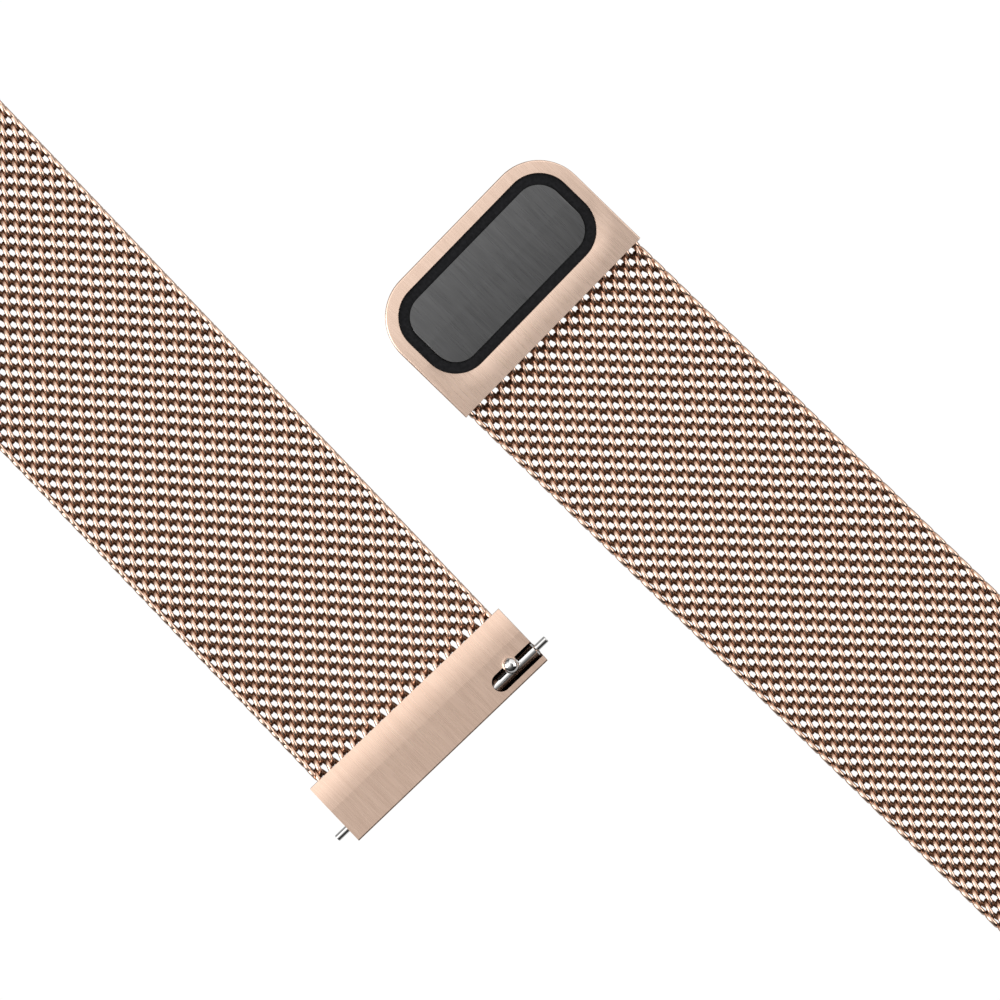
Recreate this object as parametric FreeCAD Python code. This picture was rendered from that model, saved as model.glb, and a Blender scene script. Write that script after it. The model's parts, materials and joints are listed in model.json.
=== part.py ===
"""Woven-mesh quick-release watch strap, laid out flat as two separate halves.

The long half carries a magnetic clasp, the short half carries the loop that the clasp passes through, and
each half ends in a 22 mm lug connector with a quick-release spring bar. Units are millimetres. The origin is
the centre of the clasp's underside, +X runs along the long half away from its clasp, and +Z points up.
"""

import FreeCAD, Part
import math
import os

V = FreeCAD.Vector

# ---- driving dimensions -------------------------------------------------------------------------------
LUG_WIDTH = 22.0
MESH_WIDTH = 20.5
MESH_THICKNESS = 1.3
COIL_SPACING = 0.7545
COILS_PER_LINK = 16
LONG_LINKS = 12
SHORT_LINKS = 6
HINGE_GAP = 0.07
SIDE_GAP = 0.05
MOUTH_FLARE_DEG = 25.0
HINGE_INSET = 0.75

CONNECTOR_LENGTH = 6.0
CONNECTOR_HEIGHT = 2.5
ROLL_LENGTH = 2.6
ROLL_DROP = 0.26
OUTER_EDGE_ROUND = 0.12
UNDERSIDE_ROUND = 0.75
BAR_INSET = 1.38
BAR_HEIGHT = 1.25
BORE_RADIUS = 0.71
KNOB_SLOT_WIDTH = 1.6
KNOB_SLOT_LENGTH = 4.9

BARREL_RADIUS = 0.66
BARREL_INNER_RADIUS = 0.55
BARREL_LENGTH = 21.9
BARREL_CHAMFER = 0.12
BARREL_LIP = 0.35
NECK_RADIUS = 0.47
NECK_STANDS_PROUD = 0.06
TIP_RADIUS = 0.3
KNOB_TIP_REACH = 1.17
FIXED_TIP_REACH = 1.3
TIP_ROUND = 0.08
KNOB_RADIUS = 0.72
KNOB_STEM_RADIUS = 0.25
KNOB_FROM_END = 2.5
KNOB_LEAN_DEG = 14.5
KNOB_CENTRE_RISE = 2.15
BAR_TRAVEL = 1.3
SPRING_WIRE_RADIUS = 0.06
SPRING_RADIUS = 0.38
SPRING_TURNS = 16
SLIDER_HEAD_Y = (6.9, 10.3)
FIXED_ROD_Y = (-10.3, -2.0)

PIN_RADIUS = 0.25
PIN_CLEARANCE = 0.05

CLASP_LENGTH = 12.05
CLASP_WIDTH = 21.1
CLASP_HEIGHT = 2.6
CLASP_CORNER_RADIUS = 4.4
CLASP_EDGE_ROUND = 0.15
POCKET_LENGTH = 8.6
POCKET_WIDTH = 18.8
POCKET_CORNER_RADIUS = 3.1
POCKET_FROM_MESH_EDGE = 2.25
POCKET_BEVEL = 0.03
CLASP_FLOOR = 0.5
KEEPER_THICKNESS = 0.4
MAGNET_COUNT = 3
MAGNET_SIZE = (6.0, 4.7, 1.0)
MAGNET_GAP = 0.4
BEZEL_WIDTH = 0.93
BEZEL_RECESS = 0.3
PLATE_CORNER_RADIUS = 2.2
PLATE_RECESS = 0.06
PLATE_CROWN = 0.08
PLATE_EDGE_ROUND = 0.14
FIT_GAP = 0.03

LOOP_SLOT_LENGTH = 5.0
LOOP_SLOT_WIDTH = 21.8
LOOP_NEAR_BAR = 2.7
LOOP_FAR_BAR = 2.2
LOOP_SIDE_BAR = 1.7
LOOP_HEIGHT = 2.5
LOOP_CORNER_RADIUS = 1.6
LOOP_SLOT_RADIUS = 0.8
LOOP_EDGE_ROUND = 0.5
LOOP_PIN_IN_CHEEK = 0.7

SHORT_HALF_X = 18.87
SHORT_HALF_Y = -31.215
SHORT_HALF_TURN_DEG = -2.1

# ---- worked out from the driving dimensions -----------------------------------------------------------
LINK_LENGTH = COIL_SPACING * COILS_PER_LINK
KNUCKLE_RADIUS = MESH_THICKNESS / 2
GROOVE_RADIUS = KNUCKLE_RADIUS + HINGE_GAP
CLASP_EDGE_X = CLASP_LENGTH / 2
CLASP_HINGE_X = CLASP_EDGE_X - HINGE_INSET
CAVITY_HALF_WIDTH = MESH_WIDTH / 2 + SIDE_GAP
BAR_END_Y = LUG_WIDTH / 2


# ---- small helpers ------------------------------------------------------------------------------------
def line(a, b):
    return Part.LineSegment(V(*a), V(*b)).toShape()


def arc(a, middle, b):
    return Part.Arc(V(*a), V(*middle), V(*b)).toShape()


def quarter_round(x, z, radius, up):
    """A quarter circle inside an outline's outer corner (x, z); up is 1 at its top and -1 at its bottom."""
    near = radius * (1 - math.sqrt(0.5))
    return arc((x - radius, 0, z), (x - near, 0, z - up * near), (x, 0, z - up * radius))


def prism_along_y(edges, half_width):
    """A solid from a closed outline in the XZ plane, drawn at Y = 0 and centred on it."""
    face = Part.Face(Part.Wire(edges))
    face.translate(V(0, -half_width, 0))
    return face.extrude(V(0, 2 * half_width, 0))


def polygon_along_y(points, half_width):
    """A straight-sided solid from (x, z) points, centred on Y = 0."""
    corners = [V(x, 0, z) for x, z in points]
    return prism_along_y(Part.makePolygon(corners + corners[:1]).Edges, half_width)


def rod_along_y(radius, y_low, y_high, x=0.0, z=0.0):
    return Part.makeCylinder(radius, y_high - y_low, V(x, y_low, z), V(0, 1, 0))


def rounded_plate(length, width, radius, z_low, z_high, x_centre=0.0):
    """A flat plate with four round corners, centred on Y = 0."""
    block = Part.makeBox(length, width, z_high - z_low, V(x_centre - length / 2, -width / 2, z_low))
    corners = [e for e in block.Edges if is_upright(e)]
    return block.makeFillet(radius, corners)


def is_upright(edge):
    a, b = edge.Vertexes[0].Point, edge.Vertexes[-1].Point
    return abs(a.x - b.x) < 1e-6 and abs(a.y - b.y) < 1e-6


def edges_at_height(shape, height):
    box_of = [(e, e.BoundBox) for e in shape.Edges]
    return [e for e, b in box_of if abs(b.ZMin - height) < 1e-6 and abs(b.ZMax - height) < 1e-6]


# ---- woven mesh ---------------------------------------------------------------------------------------
def mesh_link(pinned_start, pinned_end):
    """One stretch of mesh as a plain slab from hinge to hinge, from X = 0 to LINK_LENGTH.

    Its start is a round knuckle. Its end is a groove that takes the next link's knuckle, or a round
    knuckle too where it goes into a fitting. A knuckle held by a pin is bored for it.
    """
    slab = Part.makeBox(LINK_LENGTH, MESH_WIDTH, MESH_THICKNESS, V(0, -MESH_WIDTH / 2, 0))
    half = MESH_WIDTH / 2
    slab = slab.fuse(rod_along_y(KNUCKLE_RADIUS, -half, half, 0, KNUCKLE_RADIUS))
    if pinned_end:
        slab = slab.fuse(rod_along_y(KNUCKLE_RADIUS, -half, half, LINK_LENGTH, KNUCKLE_RADIUS))
    else:
        slab = slab.cut(rod_along_y(GROOVE_RADIUS, -half - 1, half + 1, LINK_LENGTH, KNUCKLE_RADIUS))
    bore = PIN_RADIUS + PIN_CLEARANCE
    for pinned, x in ((pinned_start, 0), (pinned_end, LINK_LENGTH)):
        if pinned:
            slab = slab.cut(rod_along_y(bore, -half - 1, half + 1, x, KNUCKLE_RADIUS))
    return slab.removeSplitter()


def mesh_mouth(hinge_x, reach, towards):
    """The space a fitting leaves for the mesh that hinges in it; towards is +1 or -1, the way it leaves."""
    flare = math.radians(MOUTH_FLARE_DEG)
    foot_x = -GROOVE_RADIUS * math.sin(flare)
    foot_z = KNUCKLE_RADIUS + GROOVE_RADIUS * math.cos(flare)
    far_z = foot_z + (reach - foot_x) * math.tan(flare)
    below = -1.0
    outline = [(foot_x, foot_z), (reach, far_z), (reach, below), (foot_x, below)]
    outline = [(hinge_x + towards * x, z) for x, z in outline]
    wedge = polygon_along_y(outline, CAVITY_HALF_WIDTH)
    groove = rod_along_y(GROOVE_RADIUS, -CAVITY_HALF_WIDTH, CAVITY_HALF_WIDTH, hinge_x, KNUCKLE_RADIUS)
    return wedge.fuse(groove)


def mesh_pin(hinge_x, half_length):
    return rod_along_y(PIN_RADIUS, -half_length, half_length, hinge_x, KNUCKLE_RADIUS)


# ---- lug connector, from its mesh-side edge at X = 0 to its outer edge ---------------------------------
def connector_body():
    length, height = CONNECTOR_LENGTH, CONNECTOR_HEIGHT
    roll_z = height - ROLL_DROP
    outline = [
        arc((0, 0, roll_z), (ROLL_LENGTH / 2, 0, height - ROLL_DROP / 4), (ROLL_LENGTH, 0, height)),
        line((ROLL_LENGTH, 0, height), (length - OUTER_EDGE_ROUND, 0, height)),
        quarter_round(length, height, OUTER_EDGE_ROUND, 1),
        line((length, 0, height - OUTER_EDGE_ROUND), (length, 0, UNDERSIDE_ROUND)),
        quarter_round(length, 0, UNDERSIDE_ROUND, -1),
        line((length - UNDERSIDE_ROUND, 0, 0), (0, 0, 0)),
        line((0, 0, 0), (0, 0, roll_z)),
    ]
    body = prism_along_y(outline, LUG_WIDTH / 2)
    body = body.cut(mesh_mouth(HINGE_INSET, 2 * HINGE_INSET, -1))
    bar_x = length - BAR_INSET
    body = body.cut(rod_along_y(BORE_RADIUS, -LUG_WIDTH, LUG_WIDTH, bar_x, BAR_HEIGHT))
    body = body.cut(knob_slot(bar_x))
    return body.cut(connector_pin())


def knob_slot(bar_x):
    """A slot in the top, open at the knob's end face, with a round floor and a round inner end."""
    radius = KNOB_SLOT_WIDTH / 2
    inner_y = BAR_END_Y - KNOB_SLOT_LENGTH + radius
    outer_y = BAR_END_Y + 1
    above = CONNECTOR_HEIGHT
    channel = rod_along_y(radius, inner_y, outer_y, bar_x, BAR_HEIGHT)
    corner = V(bar_x - radius, inner_y, BAR_HEIGHT)
    opening = Part.makeBox(KNOB_SLOT_WIDTH, outer_y - inner_y, above, corner)
    end = Part.makeCylinder(radius, above, V(bar_x, inner_y, BAR_HEIGHT))
    end_floor = Part.makeSphere(radius, V(bar_x, inner_y, BAR_HEIGHT))
    return channel.fuse(opening).fuse(end).fuse(end_floor)


def connector_pin():
    inside_cheek = (LUG_WIDTH / 2 - CAVITY_HALF_WIDTH) / 2
    return mesh_pin(HINGE_INSET, CAVITY_HALF_WIDTH + inside_cheek)


# ---- quick-release spring bar, on its own axis along Y with the knob at +Y ------------------------------
def bar_barrel():
    half = BARREL_LENGTH / 2
    tube = rod_along_y(BARREL_RADIUS, -half, half)
    rims = [e for e in tube.Edges if len(e.Vertexes) == 1]
    tube = tube.makeChamfer(BARREL_CHAMFER, rims)
    tube = tube.cut(rod_along_y(BARREL_INNER_RADIUS, -half + BARREL_LIP, half - BARREL_LIP))
    for low, high in ((-half - 1, -half + 1), (half - 1, half + 1)):
        tube = tube.cut(rod_along_y(NECK_RADIUS + FIT_GAP, low, high))
    knob_y = BAR_END_Y - KNOB_FROM_END
    half_window = KNOB_STEM_RADIUS + PIN_CLEARANCE
    window = Part.makeBox(
        2 * half_window,
        BAR_TRAVEL + 2 * half_window,
        2.0,
        V(-half_window, knob_y - BAR_TRAVEL - half_window, 0),
    )
    window.rotate(V(0, 0, 0), V(0, 1, 0), -KNOB_LEAN_DEG)
    return tube.cut(window)


def bar_tip(head_low, head_high, tip_y):
    """A head that fits inside the barrel, a neck that leaves it, and a thinner round-ended tip."""
    head = rod_along_y(BARREL_INNER_RADIUS - FIT_GAP, head_low, head_high)
    side = math.copysign(1, tip_y)
    neck_y = side * (BAR_END_Y + NECK_STANDS_PROUD)
    neck = rod_along_y(NECK_RADIUS, *sorted((head_high if side > 0 else head_low, neck_y)))
    tip = rod_along_y(TIP_RADIUS, *sorted((neck_y, tip_y)))
    rim = [e for e in tip.Edges if len(e.Vertexes) == 1 and abs(e.BoundBox.YMax - tip_y) < 1e-6]
    return head.fuse(neck).fuse(tip.makeFillet(TIP_ROUND, rim))


def bar_sliding_pin():
    pin = bar_tip(*SLIDER_HEAD_Y, BAR_END_Y + KNOB_TIP_REACH)
    return pin.cut(knob_stem(KNOB_CENTRE_RISE))


def bar_fixed_pin():
    return bar_tip(*FIXED_ROD_Y, -BAR_END_Y - FIXED_TIP_REACH)


def knob_stem(length):
    """The knob's stem, which starts inside the sliding pin and leans towards the mesh."""
    stem = Part.makeCylinder(KNOB_STEM_RADIUS, length, V(0, 0, 0), V(0, 0, 1))
    stem.rotate(V(0, 0, 0), V(0, 1, 0), -KNOB_LEAN_DEG)
    stem.translate(V(0, BAR_END_Y - KNOB_FROM_END, 0))
    return stem


def bar_knob():
    lean = math.radians(KNOB_LEAN_DEG)
    rise = KNOB_CENTRE_RISE
    centre = V(-rise * math.sin(lean), BAR_END_Y - KNOB_FROM_END, rise * math.cos(lean))
    return knob_stem(KNOB_CENTRE_RISE).fuse(Part.makeSphere(KNOB_RADIUS, centre))


def bar_spring():
    low = FIXED_ROD_Y[1] + SPRING_WIRE_RADIUS + FIT_GAP
    high = SLIDER_HEAD_Y[0] - SPRING_WIRE_RADIUS - FIT_GAP
    pitch = (high - low) / SPRING_TURNS
    path = Part.makeHelix(pitch, high - low, SPRING_RADIUS)
    section = Part.Wire([Part.makeCircle(SPRING_WIRE_RADIUS, V(SPRING_RADIUS, 0, 0), V(0, 1, pitch / 2))])
    coil = Part.Wire(path).makePipeShell([section], True, True)
    coil.rotate(V(0, 0, 0), V(1, 0, 0), -90)
    coil.translate(V(0, low, 0))
    return coil


# ---- magnetic clasp, centred on the origin with the mesh leaving at +X ---------------------------------
POCKET_X = CLASP_EDGE_X - POCKET_FROM_MESH_EDGE - POCKET_LENGTH / 2


def clasp_shell():
    block = Part.makeBox(CLASP_LENGTH, CLASP_WIDTH, CLASP_HEIGHT, V(-CLASP_EDGE_X, -CLASP_WIDTH / 2, 0))
    free_corners = [e for e in block.Edges if is_upright(e) and e.BoundBox.XMax < 0]
    shell = block.makeFillet(CLASP_CORNER_RADIUS, free_corners)
    outer_edges = [
        e
        for height in (0, CLASP_HEIGHT)
        for e in edges_at_height(shell, height)
        if e.BoundBox.XMin < CLASP_EDGE_X - 1e-6
    ]
    shell = shell.makeFillet(CLASP_EDGE_ROUND, outer_edges)
    pocket = rounded_plate(
        POCKET_LENGTH, POCKET_WIDTH, POCKET_CORNER_RADIUS, CLASP_FLOOR, CLASP_HEIGHT + 1, POCKET_X
    )
    shell = shell.cut(pocket)
    shell = bevelled_rim(shell)
    shell = shell.cut(mesh_mouth(CLASP_HINGE_X, 2 * HINGE_INSET, 1))
    return shell.cut(clasp_pin())


def bevelled_rim(shell):
    """Breaks the pocket's sharp upper edge."""
    half_length, half_width = POCKET_LENGTH / 2 + 0.01, POCKET_WIDTH / 2 + 0.01
    rim = [
        e
        for e in edges_at_height(shell, CLASP_HEIGHT)
        if abs(e.CenterOfMass.y) < half_width
        and e.BoundBox.XMin > POCKET_X - half_length
        and e.BoundBox.XMax < POCKET_X + half_length
    ]
    return shell.makeChamfer(POCKET_BEVEL, rim)


def clasp_pin():
    inside_cheek = (CLASP_WIDTH / 2 - CAVITY_HALF_WIDTH) / 2
    return mesh_pin(CLASP_HINGE_X, CAVITY_HALF_WIDTH + inside_cheek)


def pocket_filler(z_low, z_high):
    """The pocket's own outline, a fit gap smaller all round."""
    length, width = POCKET_LENGTH - 2 * FIT_GAP, POCKET_WIDTH - 2 * FIT_GAP
    return rounded_plate(length, width, POCKET_CORNER_RADIUS - FIT_GAP, z_low, z_high, POCKET_X)


def clasp_keeper():
    return pocket_filler(CLASP_FLOOR, CLASP_FLOOR + KEEPER_THICKNESS)


def clasp_magnets():
    length, width, thickness = MAGNET_SIZE
    pitch = width + MAGNET_GAP
    z = CLASP_FLOOR + KEEPER_THICKNESS
    first = -pitch * (MAGNET_COUNT - 1) / 2
    blocks = [
        Part.makeBox(length, width, thickness, V(POCKET_X - length / 2, first + n * pitch - width / 2, z))
        for n in range(MAGNET_COUNT)
    ]
    return Part.makeCompound(blocks)


def clasp_bezel():
    """The dark frame that holds the magnets and shows as a recessed band round the face plate."""
    low = CLASP_FLOOR + KEEPER_THICKNESS
    top = CLASP_HEIGHT - BEZEL_RECESS
    outside = pocket_filler(low, top)
    length, width = plate_size()
    inside = rounded_plate(
        length + 2 * FIT_GAP, width + 2 * FIT_GAP, PLATE_CORNER_RADIUS + FIT_GAP, low - 1, top + 1, POCKET_X
    )
    return outside.cut(inside)


def plate_size():
    return POCKET_LENGTH - 2 * BEZEL_WIDTH, POCKET_WIDTH - 2 * BEZEL_WIDTH


def clasp_face_plate():
    length, width = plate_size()
    low = CLASP_FLOOR + KEEPER_THICKNESS + MAGNET_SIZE[2]
    top = CLASP_HEIGHT - PLATE_RECESS
    plate = rounded_plate(length, width, PLATE_CORNER_RADIUS, low, top, POCKET_X)
    plate = plate.makeFillet(PLATE_EDGE_ROUND, edges_at_height(plate, top))
    curve = (length**2 / 4 + PLATE_CROWN**2) / (2 * PLATE_CROWN)
    return plate.common(rod_along_y(curve, -width, width, POCKET_X, top - curve))


# ---- loop, with its hinge at X = 0 and the slot towards -X ---------------------------------------------
LOOP_LENGTH = LOOP_NEAR_BAR + LOOP_SLOT_LENGTH + LOOP_FAR_BAR
LOOP_WIDTH = LOOP_SLOT_WIDTH + 2 * LOOP_SIDE_BAR
LOOP_CENTRE_X = HINGE_INSET - LOOP_LENGTH / 2
LOOP_SLOT_X = HINGE_INSET - LOOP_NEAR_BAR - LOOP_SLOT_LENGTH / 2


def loop_frame():
    frame = rounded_plate(LOOP_LENGTH, LOOP_WIDTH, LOOP_CORNER_RADIUS, 0, LOOP_HEIGHT, LOOP_CENTRE_X)
    rims = edges_at_height(frame, 0) + edges_at_height(frame, LOOP_HEIGHT)
    frame = frame.makeFillet(LOOP_EDGE_ROUND, rims)
    above = LOOP_HEIGHT + 1
    slot = rounded_plate(LOOP_SLOT_LENGTH, LOOP_SLOT_WIDTH, LOOP_SLOT_RADIUS, -1, above, LOOP_SLOT_X)
    frame = frame.cut(slot)
    frame = frame.cut(mesh_mouth(0, 2 * HINGE_INSET, 1))
    return frame.cut(loop_pin())


def loop_pin():
    return mesh_pin(0, CAVITY_HALF_WIDTH + LOOP_PIN_IN_CHEEK)


# ---- placing and writing ------------------------------------------------------------------------------
def placed_long(x):
    return FreeCAD.Placement(V(x, 0, 0), FreeCAD.Rotation())


def placed_short(x):
    """A place on the short half, x measured along it from its connector's mesh-side edge."""
    turn = FreeCAD.Rotation(V(0, 0, 1), SHORT_HALF_TURN_DEG)
    return FreeCAD.Placement(V(SHORT_HALF_X, SHORT_HALF_Y, 0) + turn.multVec(V(x, 0, 0)), turn)


def write(name, shape, placement=FreeCAD.Placement()):
    shape = shape.copy()
    shape.Placement = placement.multiply(shape.Placement)
    if not shape.isValid():
        raise SystemExit("invalid shape: " + name)
    shape.exportStep(os.path.join("parts", name + ".step"))
    print(f"{name:28s} {len(shape.Solids)} solid(s) {shape.Volume:9.3f} mm3")


def write_connector(half, place, x):
    """The lug connector of one half with its mesh pin and its spring bar; x is its mesh-side edge."""
    write(half + "_connector", connector_body(), place(x))
    write(half + "_connector_pin", connector_pin(), place(x))
    bar = {
        "barrel": bar_barrel,
        "fixed_pin": bar_fixed_pin,
        "sliding_pin": bar_sliding_pin,
        "knob": bar_knob,
        "spring": bar_spring,
    }
    lift = FreeCAD.Placement(V(CONNECTOR_LENGTH - BAR_INSET, 0, BAR_HEIGHT), FreeCAD.Rotation())
    for name, make in bar.items():
        write(half + "_bar_" + name, make(), place(x).multiply(lift))


def main():
    os.makedirs("parts", exist_ok=True)
    write("clasp_shell", clasp_shell())
    write("clasp_pin", clasp_pin())
    write("clasp_keeper", clasp_keeper())
    write("clasp_magnets", clasp_magnets())
    write("clasp_bezel", clasp_bezel())
    write("clasp_face_plate", clasp_face_plate())
    for n in range(LONG_LINKS):
        link = mesh_link(n == 0, n == LONG_LINKS - 1)
        write(f"long_mesh_{n + 1:02d}", link, placed_long(CLASP_HINGE_X + n * LINK_LENGTH))
    long_end = CLASP_HINGE_X + LONG_LINKS * LINK_LENGTH
    write_connector("long", placed_long, long_end - HINGE_INSET)

    write_connector("short", placed_short, 0)
    turned = FreeCAD.Placement(V(0, 0, 0), FreeCAD.Rotation(V(0, 0, 1), 180))
    for n in range(SHORT_LINKS):
        link = mesh_link(n == 0, n == SHORT_LINKS - 1)
        place = placed_short(HINGE_INSET - n * LINK_LENGTH).multiply(turned)
        write(f"short_mesh_{n + 1:02d}", link, place)
    loop_hinge = HINGE_INSET - SHORT_LINKS * LINK_LENGTH
    write("loop_frame", loop_frame(), placed_short(loop_hinge))
    write("loop_pin", loop_pin(), placed_short(loop_hinge))


main()
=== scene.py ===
"""Woven-mesh quick-release watch strap: its wires, finishes, light and camera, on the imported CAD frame."""

import json
import math

import bpy
import numpy as np
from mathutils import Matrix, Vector

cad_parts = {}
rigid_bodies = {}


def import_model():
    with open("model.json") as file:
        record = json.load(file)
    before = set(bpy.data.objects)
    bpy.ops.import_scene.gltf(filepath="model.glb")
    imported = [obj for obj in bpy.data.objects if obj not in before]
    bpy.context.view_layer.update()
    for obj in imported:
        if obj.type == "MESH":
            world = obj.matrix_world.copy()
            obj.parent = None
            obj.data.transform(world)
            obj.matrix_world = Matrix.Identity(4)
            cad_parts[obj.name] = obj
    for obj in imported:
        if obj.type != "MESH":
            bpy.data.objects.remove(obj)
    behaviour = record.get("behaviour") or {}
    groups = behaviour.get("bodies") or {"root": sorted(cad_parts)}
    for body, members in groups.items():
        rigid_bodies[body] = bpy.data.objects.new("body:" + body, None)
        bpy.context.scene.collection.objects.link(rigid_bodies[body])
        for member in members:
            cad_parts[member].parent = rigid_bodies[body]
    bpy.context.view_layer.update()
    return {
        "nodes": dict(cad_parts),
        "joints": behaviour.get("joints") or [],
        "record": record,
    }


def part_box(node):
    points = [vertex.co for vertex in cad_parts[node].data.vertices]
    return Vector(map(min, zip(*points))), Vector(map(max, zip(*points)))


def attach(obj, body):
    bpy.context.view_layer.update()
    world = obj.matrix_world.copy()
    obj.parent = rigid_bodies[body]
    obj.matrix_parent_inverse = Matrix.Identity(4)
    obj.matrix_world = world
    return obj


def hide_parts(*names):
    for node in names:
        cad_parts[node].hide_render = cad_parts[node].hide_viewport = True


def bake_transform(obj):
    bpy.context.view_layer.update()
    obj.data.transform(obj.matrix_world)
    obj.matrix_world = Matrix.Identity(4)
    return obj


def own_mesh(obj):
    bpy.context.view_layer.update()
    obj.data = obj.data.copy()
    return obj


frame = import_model()
MM = 0.001

# ---- the weave, in millimetres ---------------------------------------------------------------------------
COILS_PER_LINK = 16
PITCH = 1.378  # one turn of a coil, across the strap
COIL_WIDTH = 1.321  # of its centreline, along the strap
COIL_HEIGHT = 0.865  # of its centreline
WIRE = 0.435
SQUARENESS = 1.813  # 2 is an ellipse, more is squarer
SWAY = ((1, 0.007, -0.029), (2, 0.036, -0.005))  # from a plain helix: waves a turn, sine part, cosine part
LEAN = 0.121  # of a coil's top along the strap, and of its bottom the other way
EDGE_SLACK = 0.8  # how far past the mesh's edge a coil's last arch would be, if it weren't levelled off there
EDGE_SOFTNESS = 0.08  # of that levelling
ARCH_TAIL = 0.9  # radians of turn that the wire goes on for, past its first and last arch
TAIL_TAPER = 0.55  # a tail's thickness at its tip, as a share of the wire's
STEPS_PER_TURN = 16
SIDES = 8
DULL_SHADED_BELOW = 0.3  # height from the mesh's middle under which its wires are dull and carry painted shade
POLISHED_UNSHADED_ABOVE = 0.54  # and over which they are polished, with no painted shade
SHORT_TURN = math.radians(-2.1)  # of the short half, from lying along X

# ---- the clasp's shallow shape, in metres ----------------------------------------------------------------
CLASP_DOME = 4.2  # the top falls by this times the distance squared
POCKET_CORNER = 0.0031
RIM_DIP = 0.00009  # depth of the dip beside the pocket's rim
RIM_DIP_LENGTH = 0.0016

# ---- studio ----------------------------------------------------------------------------------------------
FLOOR_DROP = 80.0 * MM  # below the strap, clear of where its long half hangs when it is bent down
CARD_GAP = 1.0 * MM  # between the floor and the card under it
CARD_HALF_SIZE = 1.5
BACKDROP_SEGMENTS = 48
GLOW_TOWARDS = Vector((-0.47, -0.27, 0.84))
GLOW_PEAK = 1.9
LENS = 150.0
SENSOR = 36.0
VIEW_WIDTH = 84.6 * MM  # what the picture's width covers at the strap
CAMERA_TURN = math.radians(44.2)
AIM = Vector((12.95, -13.54, 1.3)) * MM


def linked(name, data):
    """An object in the scene that shows data."""
    ob = bpy.data.objects.new(name, data)
    bpy.context.scene.collection.objects.link(ob)
    return ob


# ---- wires and springs -----------------------------------------------------------------------------------
def signed_power(value, power):
    return np.sign(value) * np.abs(value) ** power


def soft_limit(y, limit):
    """y, levelled off smoothly at plus and minus limit, so a coil's last arch lies along the mesh's edge."""
    over = EDGE_SOFTNESS * np.logaddexp(0, (y - limit) / EDGE_SOFTNESS)
    under = EDGE_SOFTNESS * np.logaddexp(0, (-y - limit) / EDGE_SOFTNESS)
    return y - over + under


def coil_path(column, half_width, phase):
    """The centreline of one coil about X = 0, which starts and ends with an arch over the top."""
    offset = phase + (PITCH / 2 if column % 2 else 0)
    limit = half_width - WIRE / 2
    first = math.ceil((-limit - EDGE_SLACK - offset) / PITCH - 0.25)
    last = math.floor((limit + EDGE_SLACK - offset) / PITCH - 0.25)
    start = 2 * math.pi * first - ARCH_TAIL
    stop = 2 * math.pi * last + math.pi + ARCH_TAIL
    turn = np.linspace(start, stop, int((stop - start) / (2 * math.pi) * STEPS_PER_TURN) + 1)
    x = COIL_WIDTH / 2 * signed_power(np.cos(turn), 2 / SQUARENESS)
    z = COIL_HEIGHT / 2 * signed_power(np.sin(turn), 2 / SQUARENESS)
    y = PITCH * turn / (2 * math.pi) + offset
    for waves, sine, cosine in SWAY:
        y += sine * np.sin(waves * turn) + cosine * np.cos(waves * turn)
    path = np.stack([x + LEAN * z / (COIL_HEIGHT / 2), soft_limit(y, limit), z], 1)
    outward = np.stack([x, np.zeros_like(x), z], 1)
    return path, outward


def unit(rows):
    return rows / np.linalg.norm(rows, axis=1, keepdims=True)


def tube(path, outward):
    """Rings of points round a path, drawn in at its two ends."""
    along = unit(np.gradient(path, axis=0))
    out = unit(outward - along * np.sum(outward * along, 1, keepdims=True))
    side = np.cross(along, out)
    angle = 2 * math.pi * np.arange(SIDES) / SIDES
    radius = np.full(len(path), WIRE / 2)
    radius[[0, -1]] *= TAIL_TAPER
    around = out[:, None] * np.cos(angle)[None, :, None] + side[:, None] * np.sin(angle)[None, :, None]
    return path[:, None] + around * radius[:, None, None]


def tubes_mesh(name, tubes):
    """One mesh of quads from several tubes' rings, with a flat cap on each end."""
    points = np.concatenate([t.reshape(-1, 3) for t in tubes])
    k = np.arange(SIDES)[None, :]
    after = (k + 1) % SIDES
    quads, caps, base = [], [], 0
    for rings in tubes:
        count = len(rings)
        ring = np.arange(count - 1)[:, None] * SIDES
        sides = np.stack([ring + k, ring + after, ring + SIDES + after, ring + SIDES + k], 2)
        quads.append(sides.reshape(-1, 4) + base)
        caps.append(base + np.arange(SIDES)[::-1])
        caps.append(base + (count - 1) * SIDES + np.arange(SIDES))
        base += count * SIDES
    quads = np.concatenate(quads)
    corners = np.concatenate([quads.ravel(), np.concatenate(caps)])
    starts = np.concatenate([np.arange(len(quads)) * 4, len(quads) * 4 + np.arange(len(caps)) * SIDES])
    mesh = bpy.data.meshes.new(name)
    mesh.vertices.add(len(points))
    mesh.vertices.foreach_set("co", (points * MM).ravel())
    mesh.loops.add(len(corners))
    mesh.loops.foreach_set("vertex_index", corners)
    mesh.polygons.add(len(starts))
    mesh.polygons.foreach_set("loop_start", starts)
    mesh.update(calc_edges=True)
    mesh.polygons.foreach_set("use_smooth", np.ones(len(starts), bool))
    mesh.validate()
    return linked(name, mesh)


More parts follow.
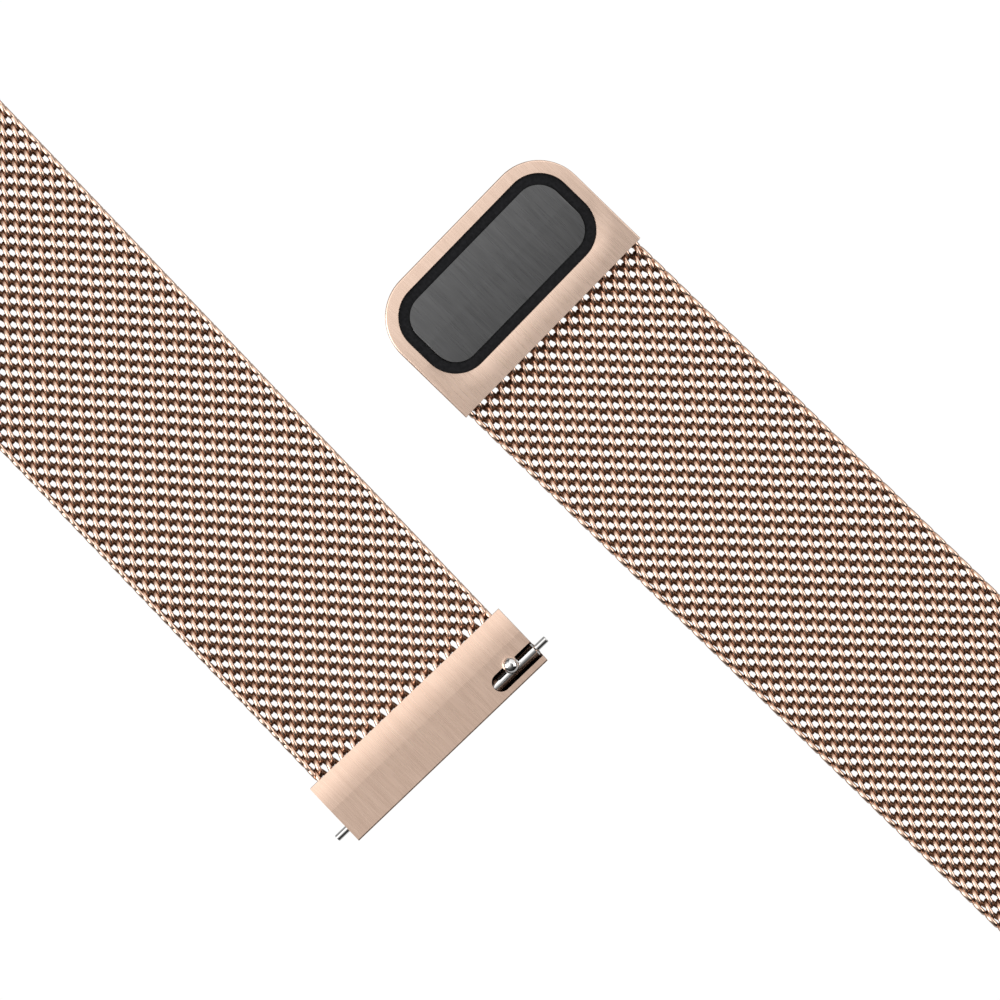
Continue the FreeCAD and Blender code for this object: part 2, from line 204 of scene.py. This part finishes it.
def weave_piece(name, coils, origin, turn, half_width, phase):
    """Several coils as one object; origin and turn place the half that they belong to."""
    across = np.array([[math.cos(turn), math.sin(turn), 0], [-math.sin(turn), math.cos(turn), 0], [0, 0, 1]])
    tubes, polish_and_shade = [], []
    for index, x in coils:
        rings = tube(*coil_path(index, half_width, phase)) + np.array([x, 0, 0])
        tubes.append(rings @ across + origin)
        # painted shade: wires low in the mesh and away from its edges get a share near 0, which darkens and
        # dulls them
        by_height = (np.abs(rings[..., 2].ravel()) - DULL_SHADED_BELOW) / (POLISHED_UNSHADED_ABOVE - DULL_SHADED_BELOW)
        by_edge = (np.abs(rings[..., 1].ravel()) - half_width + WIRE) / (WIRE / 2)
        polish_and_shade.append(np.clip(np.maximum(by_height, by_edge), 0, 1))
    ob = tubes_mesh(name, tubes)
    shade_and_polish_layer = ob.data.attributes.new("polish_and_shade", "FLOAT", "POINT")
    shade_and_polish_layer.data.foreach_set("value", np.concatenate(polish_and_shade).astype(np.float32))
    ob.data.materials.append(wire_metal)
    return ob


def weave_half(half, turn, sense, phase, shift):
    """The wires of one half, a piece to each hinge: the first rides on the link past its hinge, the last on
    the end link, and those between stay where they are made.

    sense is 1 where the half runs along +X from its first hinge, and -1 where it runs the other way. phase
    moves the coils' turns across the strap, and shift moves the coils along it, away from that hinge.
    """
    bends = [j for j in frame["joints"] if j["name"].startswith(half + "_bend_")]
    bends.sort(key=lambda j: j["name"])
    hinges = [np.array(j["pos_m"]) / MM for j in bends]
    span = hinges[1] - hinges[0]
    spacing = np.linalg.norm(span) / COILS_PER_LINK
    lo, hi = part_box("long_mesh_02")
    half_width = (hi.y - lo.y) / 2 / MM
    half_link = COILS_PER_LINK // 2
    for n, bend in enumerate(bends):
        at_hinge = n * COILS_PER_LINK
        first = max(0, at_hinge - half_link)
        last = at_hinge + half_link if n < len(bends) - 1 else at_hinge - 1
        coils = [(i, sense * (spacing * (i + 0.5) + shift)) for i in range(first, last)]
        ob = weave_piece(f"{half}_weave_{n + 1:02d}", coils, hinges[0], turn, half_width, phase)
        if n == 0:
            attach(ob, bend["child"])
            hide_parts(bend["child"])
        elif n == len(bends) - 1:
            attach(ob, bend["parent"])
        else:
            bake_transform(ob)
            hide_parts(bend["child"])


def compressing_spring(half):
    """The spring of one bar, as a piece of its own that rides on the bar's fixed part."""
    node = frame["nodes"][half + "_bar_spring"]
    release = next(j for j in frame["joints"] if j["name"] == half + "_bar_release")
    ob = linked(half + "_spring_coil", node.data.copy())
    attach(ob, release["parent"])
    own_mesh(ob)
    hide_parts(node.name)


# ---- materials -------------------------------------------------------------------------------------------
class Finish:
    """A node material under construction, with its Principled shader at hand."""

    def __init__(self, name):
        self.material = bpy.data.materials.new(name)
        self.material.use_nodes = True
        self.tree = self.material.node_tree
        self.shader = self.tree.nodes["Principled BSDF"]

    def node(self, kind, **settings):
        made = self.tree.nodes.new(kind)
        for key, value in settings.items():
            if key in made.inputs:
                made.inputs[key].default_value = value
            else:
                setattr(made, key, value)
        return made

    def link(self, source, target):
        self.tree.links.new(source, target)

    def noise(self, scale, turn=0.0, detail=2.0):
        """Noise in the object's own space; scale is features per metre along X, Y and Z."""
        coords = self.node("ShaderNodeTexCoord")
        mapping = self.node("ShaderNodeMapping")
        mapping.inputs["Rotation"].default_value = (0, 0, turn)
        mapping.inputs["Scale"].default_value = scale
        noise = self.node("ShaderNodeTexNoise", Scale=1.0, Detail=detail)
        self.link(coords.outputs["Object"], mapping.inputs["Vector"])
        self.link(mapping.outputs["Vector"], noise.inputs["Vector"])
        return noise.outputs["Fac"]

    def spread(self, value, low, high, from_low=0.3, from_high=0.7):
        """value's range from_low to from_high, stretched to low to high and held there."""
        ranged = self.node("ShaderNodeMapRange")
        ends = {"From Min": from_low, "From Max": from_high, "To Min": low, "To Max": high}
        for key, number in ends.items():
            ranged.inputs[key].default_value = number
        self.link(value, ranged.inputs["Value"])
        return ranged.outputs["Result"]

    def mixed(self, factor, first, second):
        """A colour between first and second, each of which is a constant or a node's output."""
        mix = self.node("ShaderNodeMix", data_type="RGBA")
        sockets = [i for i in mix.inputs if i.type == "RGBA"]
        for socket, colour in zip(sockets, (first, second)):
            if isinstance(colour, tuple):
                socket.default_value = (*colour, 1)
            else:
                self.link(colour, socket)
        self.link(factor, mix.inputs["Factor"])
        return next(o for o in mix.outputs if o.type == "RGBA")

    def with_painted_recess_shade(self, colour):
        """The colour, with painted shade darkening it where the surface lies in a narrow slot or hollow."""
        shade = self.node("ShaderNodeAmbientOcclusion", Distance=0.003, samples=6, only_local=True)
        open_sky = self.maths("POWER", shade.outputs["AO"], 3.0)
        # painted shade: a near-black brown laid into the colour where little open sky reaches the surface
        return self.mixed(open_sky, (0.05, 0.025, 0.015), colour)

    def maths(self, operation, a, b=0.0):
        node = self.node("ShaderNodeMath", operation=operation)
        for socket, value in zip(node.inputs, (a, b)):
            if isinstance(value, (int, float)):
                socket.default_value = value
            else:
                self.link(value, socket)
        return node.outputs[0]

    def product(self, a, b):
        return self.maths("MULTIPLY", a, b)

    def sum(self, a, b):
        return self.maths("ADD", a, b)

    def bump(self, value, strength, distance):
        bump = self.node("ShaderNodeBump")
        bump.inputs["Strength"].default_value = strength
        bump.inputs["Distance"].default_value = distance
        self.link(value, bump.inputs["Height"])
        self.link(bump.outputs["Normal"], self.shader.inputs["Normal"])


def brushed(name, dark, light, roughness, turn=0.0, crown=None):
    """Metal brushed along the strap, in two close tones; crown adds a shallow shape to its surface."""
    f = Finish(name)
    fine = f.noise((500.0, 11000.0, 500.0), -turn)
    broad = f.noise((250.0, 2500.0, 250.0), -turn)
    streaks = f.sum(f.product(fine, 0.5), f.product(broad, 0.5))
    colour = f.mixed(f.spread(streaks, 0, 1, 0.35, 0.65), dark, light)
    # the base colour carries painted shade in slots and hollows
    f.link(f.with_painted_recess_shade(colour), f.shader.inputs["Base Color"])
    f.link(f.spread(fine, *roughness), f.shader.inputs["Roughness"])
    f.shader.inputs["Metallic"].default_value = 1.0
    height = f.product(fine, 0.0000035)
    f.bump(f.sum(height, crown(f)) if crown else height, 1.0, 1.0)
    return f.material


def clasp_crown(f):
    """The clasp's top is slightly domed along the strap, and beside the mesh it dips to the pocket's rim."""
    split = f.node("ShaderNodeSeparateXYZ")
    f.link(f.node("ShaderNodeTexCoord").outputs["Object"], split.inputs[0])
    x, y = split.outputs["X"], split.outputs["Y"]
    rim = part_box("clasp_bezel")[1]
    past_x = f.maths("MAXIMUM", f.sum(x, POCKET_CORNER - rim.x), 0.0)
    past_y = f.maths("MAXIMUM", f.sum(f.maths("ABSOLUTE", y), POCKET_CORNER - rim.y), 0.0)
    from_rim = f.maths("SQRT", f.sum(f.product(past_x, past_x), f.product(past_y, past_y)))
    near_rim = f.spread(from_rim, 1, 0, POCKET_CORNER, POCKET_CORNER + RIM_DIP_LENGTH)
    mesh_side = f.spread(past_x, 0, 1, 0, POCKET_CORNER)
    dip = f.product(f.product(f.product(near_rim, near_rim), mesh_side), -RIM_DIP)
    return f.sum(f.product(f.product(x, x), -CLASP_DOME), dip)


def plain_metal(name, dark, light, roughness):
    """Metal with a fine even grain and a little unevenness in tone and polish."""
    f = Finish(name)
    grain = f.noise((900.0, 900.0, 900.0), detail=4.0)
    f.link(f.mixed(f.spread(grain, 0, 1), dark, light), f.shader.inputs["Base Color"])
    f.link(f.spread(grain, *roughness), f.shader.inputs["Roughness"])
    f.shader.inputs["Metallic"].default_value = 1.0
    f.bump(f.noise((10800.0, 10800.0, 10800.0)), 0.2, 0.000004)
    return f.material


def wire_finish():
    """Plated wire: polished at the mesh's faces and edges; between the coils dull, with painted shade there.
    """
    f = Finish("rose gold wire")
    polish_and_shade = f.node("ShaderNodeAttribute", attribute_name="polish_and_shade").outputs["Fac"]
    grain = f.spread(f.noise((1500.0, 1500.0, 1500.0), detail=3.0), 0, 1)
    outer = f.mixed(grain, (0.79, 0.55, 0.425), (0.87, 0.62, 0.485))
    # painted shade: the dark brown given to wires that lie deep between the coils
    painted_shade = f.mixed(grain, (0.24, 0.12, 0.065), (0.32, 0.165, 0.095))
    f.link(f.mixed(polish_and_shade, painted_shade, outer), f.shader.inputs["Base Color"])
    f.link(f.spread(polish_and_shade, 0.42, 0.18, 0, 1), f.shader.inputs["Roughness"])
    f.shader.inputs["Metallic"].default_value = 1.0
    f.bump(f.noise((16000.0, 16000.0, 16000.0)), 0.15, 0.000004)
    return f.material


def moulded(name, dark, light, roughness):
    """Dull moulded plastic with a fine grain."""
    f = Finish(name)
    grain = f.noise((5000.0, 5000.0, 5000.0), detail=3.0)
    f.link(f.mixed(f.spread(grain, 0, 1), dark, light), f.shader.inputs["Base Color"])
    f.link(f.spread(grain, *roughness), f.shader.inputs["Roughness"])
    f.shader.inputs["Specular IOR Level"].default_value = 0.06
    f.bump(grain, 0.3, 0.00001)
    return f.material


def glowing(name, strength):
    """A plain white that gives off its own light and takes none."""
    f = Finish(name)
    f.shader.inputs["Base Color"].default_value = (0.0, 0.0, 0.0, 1)
    f.shader.inputs["Specular IOR Level"].default_value = 0.0
    f.shader.inputs["Emission Color"].default_value = (1.0, 1.0, 1.0, 1)
    f.shader.inputs["Emission Strength"].default_value = strength
    return f.material


wire_metal = wire_finish()
finishes = {
    "connector_metal": brushed(
        "brushed rose gold connector", (0.74, 0.53, 0.415), (0.83, 0.605, 0.48), (0.24, 0.34)
    ),
    "clasp_metal": brushed(
        "brushed rose gold clasp", (0.87, 0.64, 0.51), (0.95, 0.71, 0.575), (0.24, 0.34), crown=clasp_crown
    ),
    "loop_metal": brushed(
        "brushed rose gold loop", (0.78, 0.56, 0.44), (0.90, 0.66, 0.53), (0.26, 0.38), SHORT_TURN
    ),
    "anchor_pin_steel": plain_metal("anchor pin steel", (0.52, 0.50, 0.48), (0.64, 0.62, 0.60), (0.3, 0.4)),
    "spring_bar_steel": plain_metal(
        "polished spring bar steel", (0.74, 0.73, 0.72), (0.84, 0.83, 0.82), (0.06, 0.12)
    ),
    "spring_steel": plain_metal("spring steel", (0.46, 0.46, 0.47), (0.60, 0.60, 0.61), (0.2, 0.3)),
    "keeper_steel": plain_metal("zinc plated keeper", (0.44, 0.44, 0.45), (0.58, 0.58, 0.60), (0.4, 0.5)),
    "magnet": plain_metal("nickel plated magnet", (0.60, 0.60, 0.61), (0.70, 0.70, 0.70), (0.15, 0.25)),
    "bezel_plastic": moulded(
        "black moulded bezel", (0.005, 0.005, 0.0055), (0.011, 0.011, 0.012), (0.4, 0.55)
    ),
    "face_plate_steel": brushed("dark brushed plate", (0.12, 0.12, 0.121), (0.15, 0.15, 0.151), (0.26, 0.36)),
}
slot_of = {p["node"]: p["material_slot"] for p in frame["record"]["subparts"]}
for name, ob in frame["nodes"].items():
    if slot_of[name] in finishes:
        ob.data.materials.clear()
        ob.data.materials.append(finishes[slot_of[name]])

weave_half("long", turn=0.0, sense=1, phase=0.404, shift=0.0785)
weave_half("short", turn=SHORT_TURN, sense=-1, phase=-0.748, shift=0.4785)
compressing_spring("long")
compressing_spring("short")


# ---- floor, light and camera -----------------------------------------------------------------------------
def backdrop():
    """A pale floor that curves up into a wall and a ceiling all round, far away."""
    # each ring's radius and height above the floor
    profile = [(1.6, 0.0), (2.2, 0.08), (2.7, 0.35), (3.0, 0.9), (3.0, 2.0), (2.4, 3.0), (1.2, 3.6)]
    ceiling = 3.8
    count = BACKDROP_SEGMENTS
    angles = [2 * math.pi * k / count for k in range(count)]
    verts = [(0, 0, 0)]
    verts += [(r * math.cos(a), r * math.sin(a), z) for r, z in profile for a in angles]
    verts.append((0, 0, ceiling))
    top, outermost = len(verts) - 1, len(profile) - 1

    def at(ring, k):
        return 1 + ring * count + k % count

    faces = [(0, at(0, k), at(0, k + 1)) for k in range(count)]
    for n in range(outermost):
        faces += [(at(n, k), at(n + 1, k), at(n + 1, k + 1), at(n, k + 1)) for k in range(count)]
    faces += [(at(outermost, k), top, at(outermost, k + 1)) for k in range(count)]
    mesh = bpy.data.meshes.new("backdrop")
    mesh.from_pydata(verts, [], faces)
    mesh.polygons.foreach_set("use_smooth", [True] * len(faces))
    mesh.materials.append(glowing("white paper", 1.02))
    ob = linked("backdrop", mesh)
    ob.location.z = -FLOOR_DROP
    ob.visible_glossy = False
    ob.visible_shadow = False


def reflector():
    """A card under the floor that only the strap sees, for the light that a pale table throws back."""
    corners = [(x * CARD_HALF_SIZE, y * CARD_HALF_SIZE, 0) for x, y in ((-1, -1), (1, -1), (1, 1), (-1, 1))]
    mesh = bpy.data.meshes.new("reflector")
    mesh.from_pydata(corners, [], [(0, 1, 2, 3)])
    mesh.materials.append(glowing("grey card", 0.45))
    ob = linked("reflector", mesh)
    ob.location = (0.045, -0.015, -FLOOR_DROP - CARD_GAP)
    ob.visible_camera = False
    ob.visible_shadow = False


def soft_box(name, azimuth, elevation, width, height, watts):
    """A rectangular light a metre off that faces the strap; azimuth and elevation are in degrees."""
    light = bpy.data.lights.new(name, "AREA")
    light.shape = "RECTANGLE"
    light.size, light.size_y = width, height
    light.energy = watts
    a, e = math.radians(azimuth), math.radians(elevation)
    away = Vector((math.cos(a) * math.cos(e), math.sin(a) * math.cos(e), math.sin(e)))
    ob = linked(name, light)
    ob.location = AIM + away
    ob.rotation_euler = away.to_track_quat("Z", "Y").to_euler()
    ob.visible_camera = False


def sky(towards, peak, stops):
    """A soft glow about one direction; stops are (cosine of the angle from it, share of the peak)."""
    world = bpy.data.worlds.new("studio")
    bpy.context.scene.world = world
    world.use_nodes = True
    tree = world.node_tree
    coords = tree.nodes.new("ShaderNodeTexCoord")
    facing = tree.nodes.new("ShaderNodeVectorMath")
    facing.operation = "DOT_PRODUCT"
    facing.inputs[1].default_value = towards.normalized()
    curve = tree.nodes.new("ShaderNodeFloatCurve")
    points = curve.mapping.curves[0].points
    points[0].location, points[1].location = stops[0], stops[-1]
    for cosine, share in stops[1:-1]:
        points.new(cosine, share)
    for point in points:
        point.handle_type = "VECTOR"
    curve.mapping.update()
    strength = tree.nodes.new("ShaderNodeMath")
    strength.operation = "MULTIPLY"
    strength.inputs[1].default_value = peak
    background = tree.nodes["Background"]
    background.inputs["Color"].default_value = (1, 1, 1, 1)
    tree.links.new(coords.outputs["Generated"], facing.inputs[0])
    tree.links.new(facing.outputs["Value"], curve.inputs["Value"])
    tree.links.new(curve.outputs["Value"], strength.inputs[0])
    tree.links.new(strength.outputs[0], background.inputs["Strength"])


backdrop()
reflector()
wide_glow = [(0.0, 0.013), (0.17, 0.02), (0.42, 0.043), (0.6, 0.1), (0.73, 0.193)]
core_glow = [(0.839, 0.333), (0.921, 0.57), (0.974, 0.87), (1.0, 1.0)]
sky(GLOW_TOWARDS, GLOW_PEAK, wide_glow + core_glow)
soft_box("right soft box", 52.0, 30, 0.7, 0.7, 3.4)
soft_box("left soft box", 238.0, 30, 0.7, 0.7, 4.4)
soft_box("far fill", 112.0, 33, 1.4, 1.2, 5)

camera = linked("camera", bpy.data.cameras.new("camera"))
camera.data.lens = LENS
camera.data.sensor_width = SENSOR
camera.location = AIM + Vector((0, 0, VIEW_WIDTH * LENS / SENSOR))
camera.rotation_euler = (0, 0, CAMERA_TURN)
camera.data.clip_start, camera.data.clip_end = 0.01, 20.0
bpy.context.scene.camera = camera
bpy.context.scene.view_settings.view_transform = "Standard"
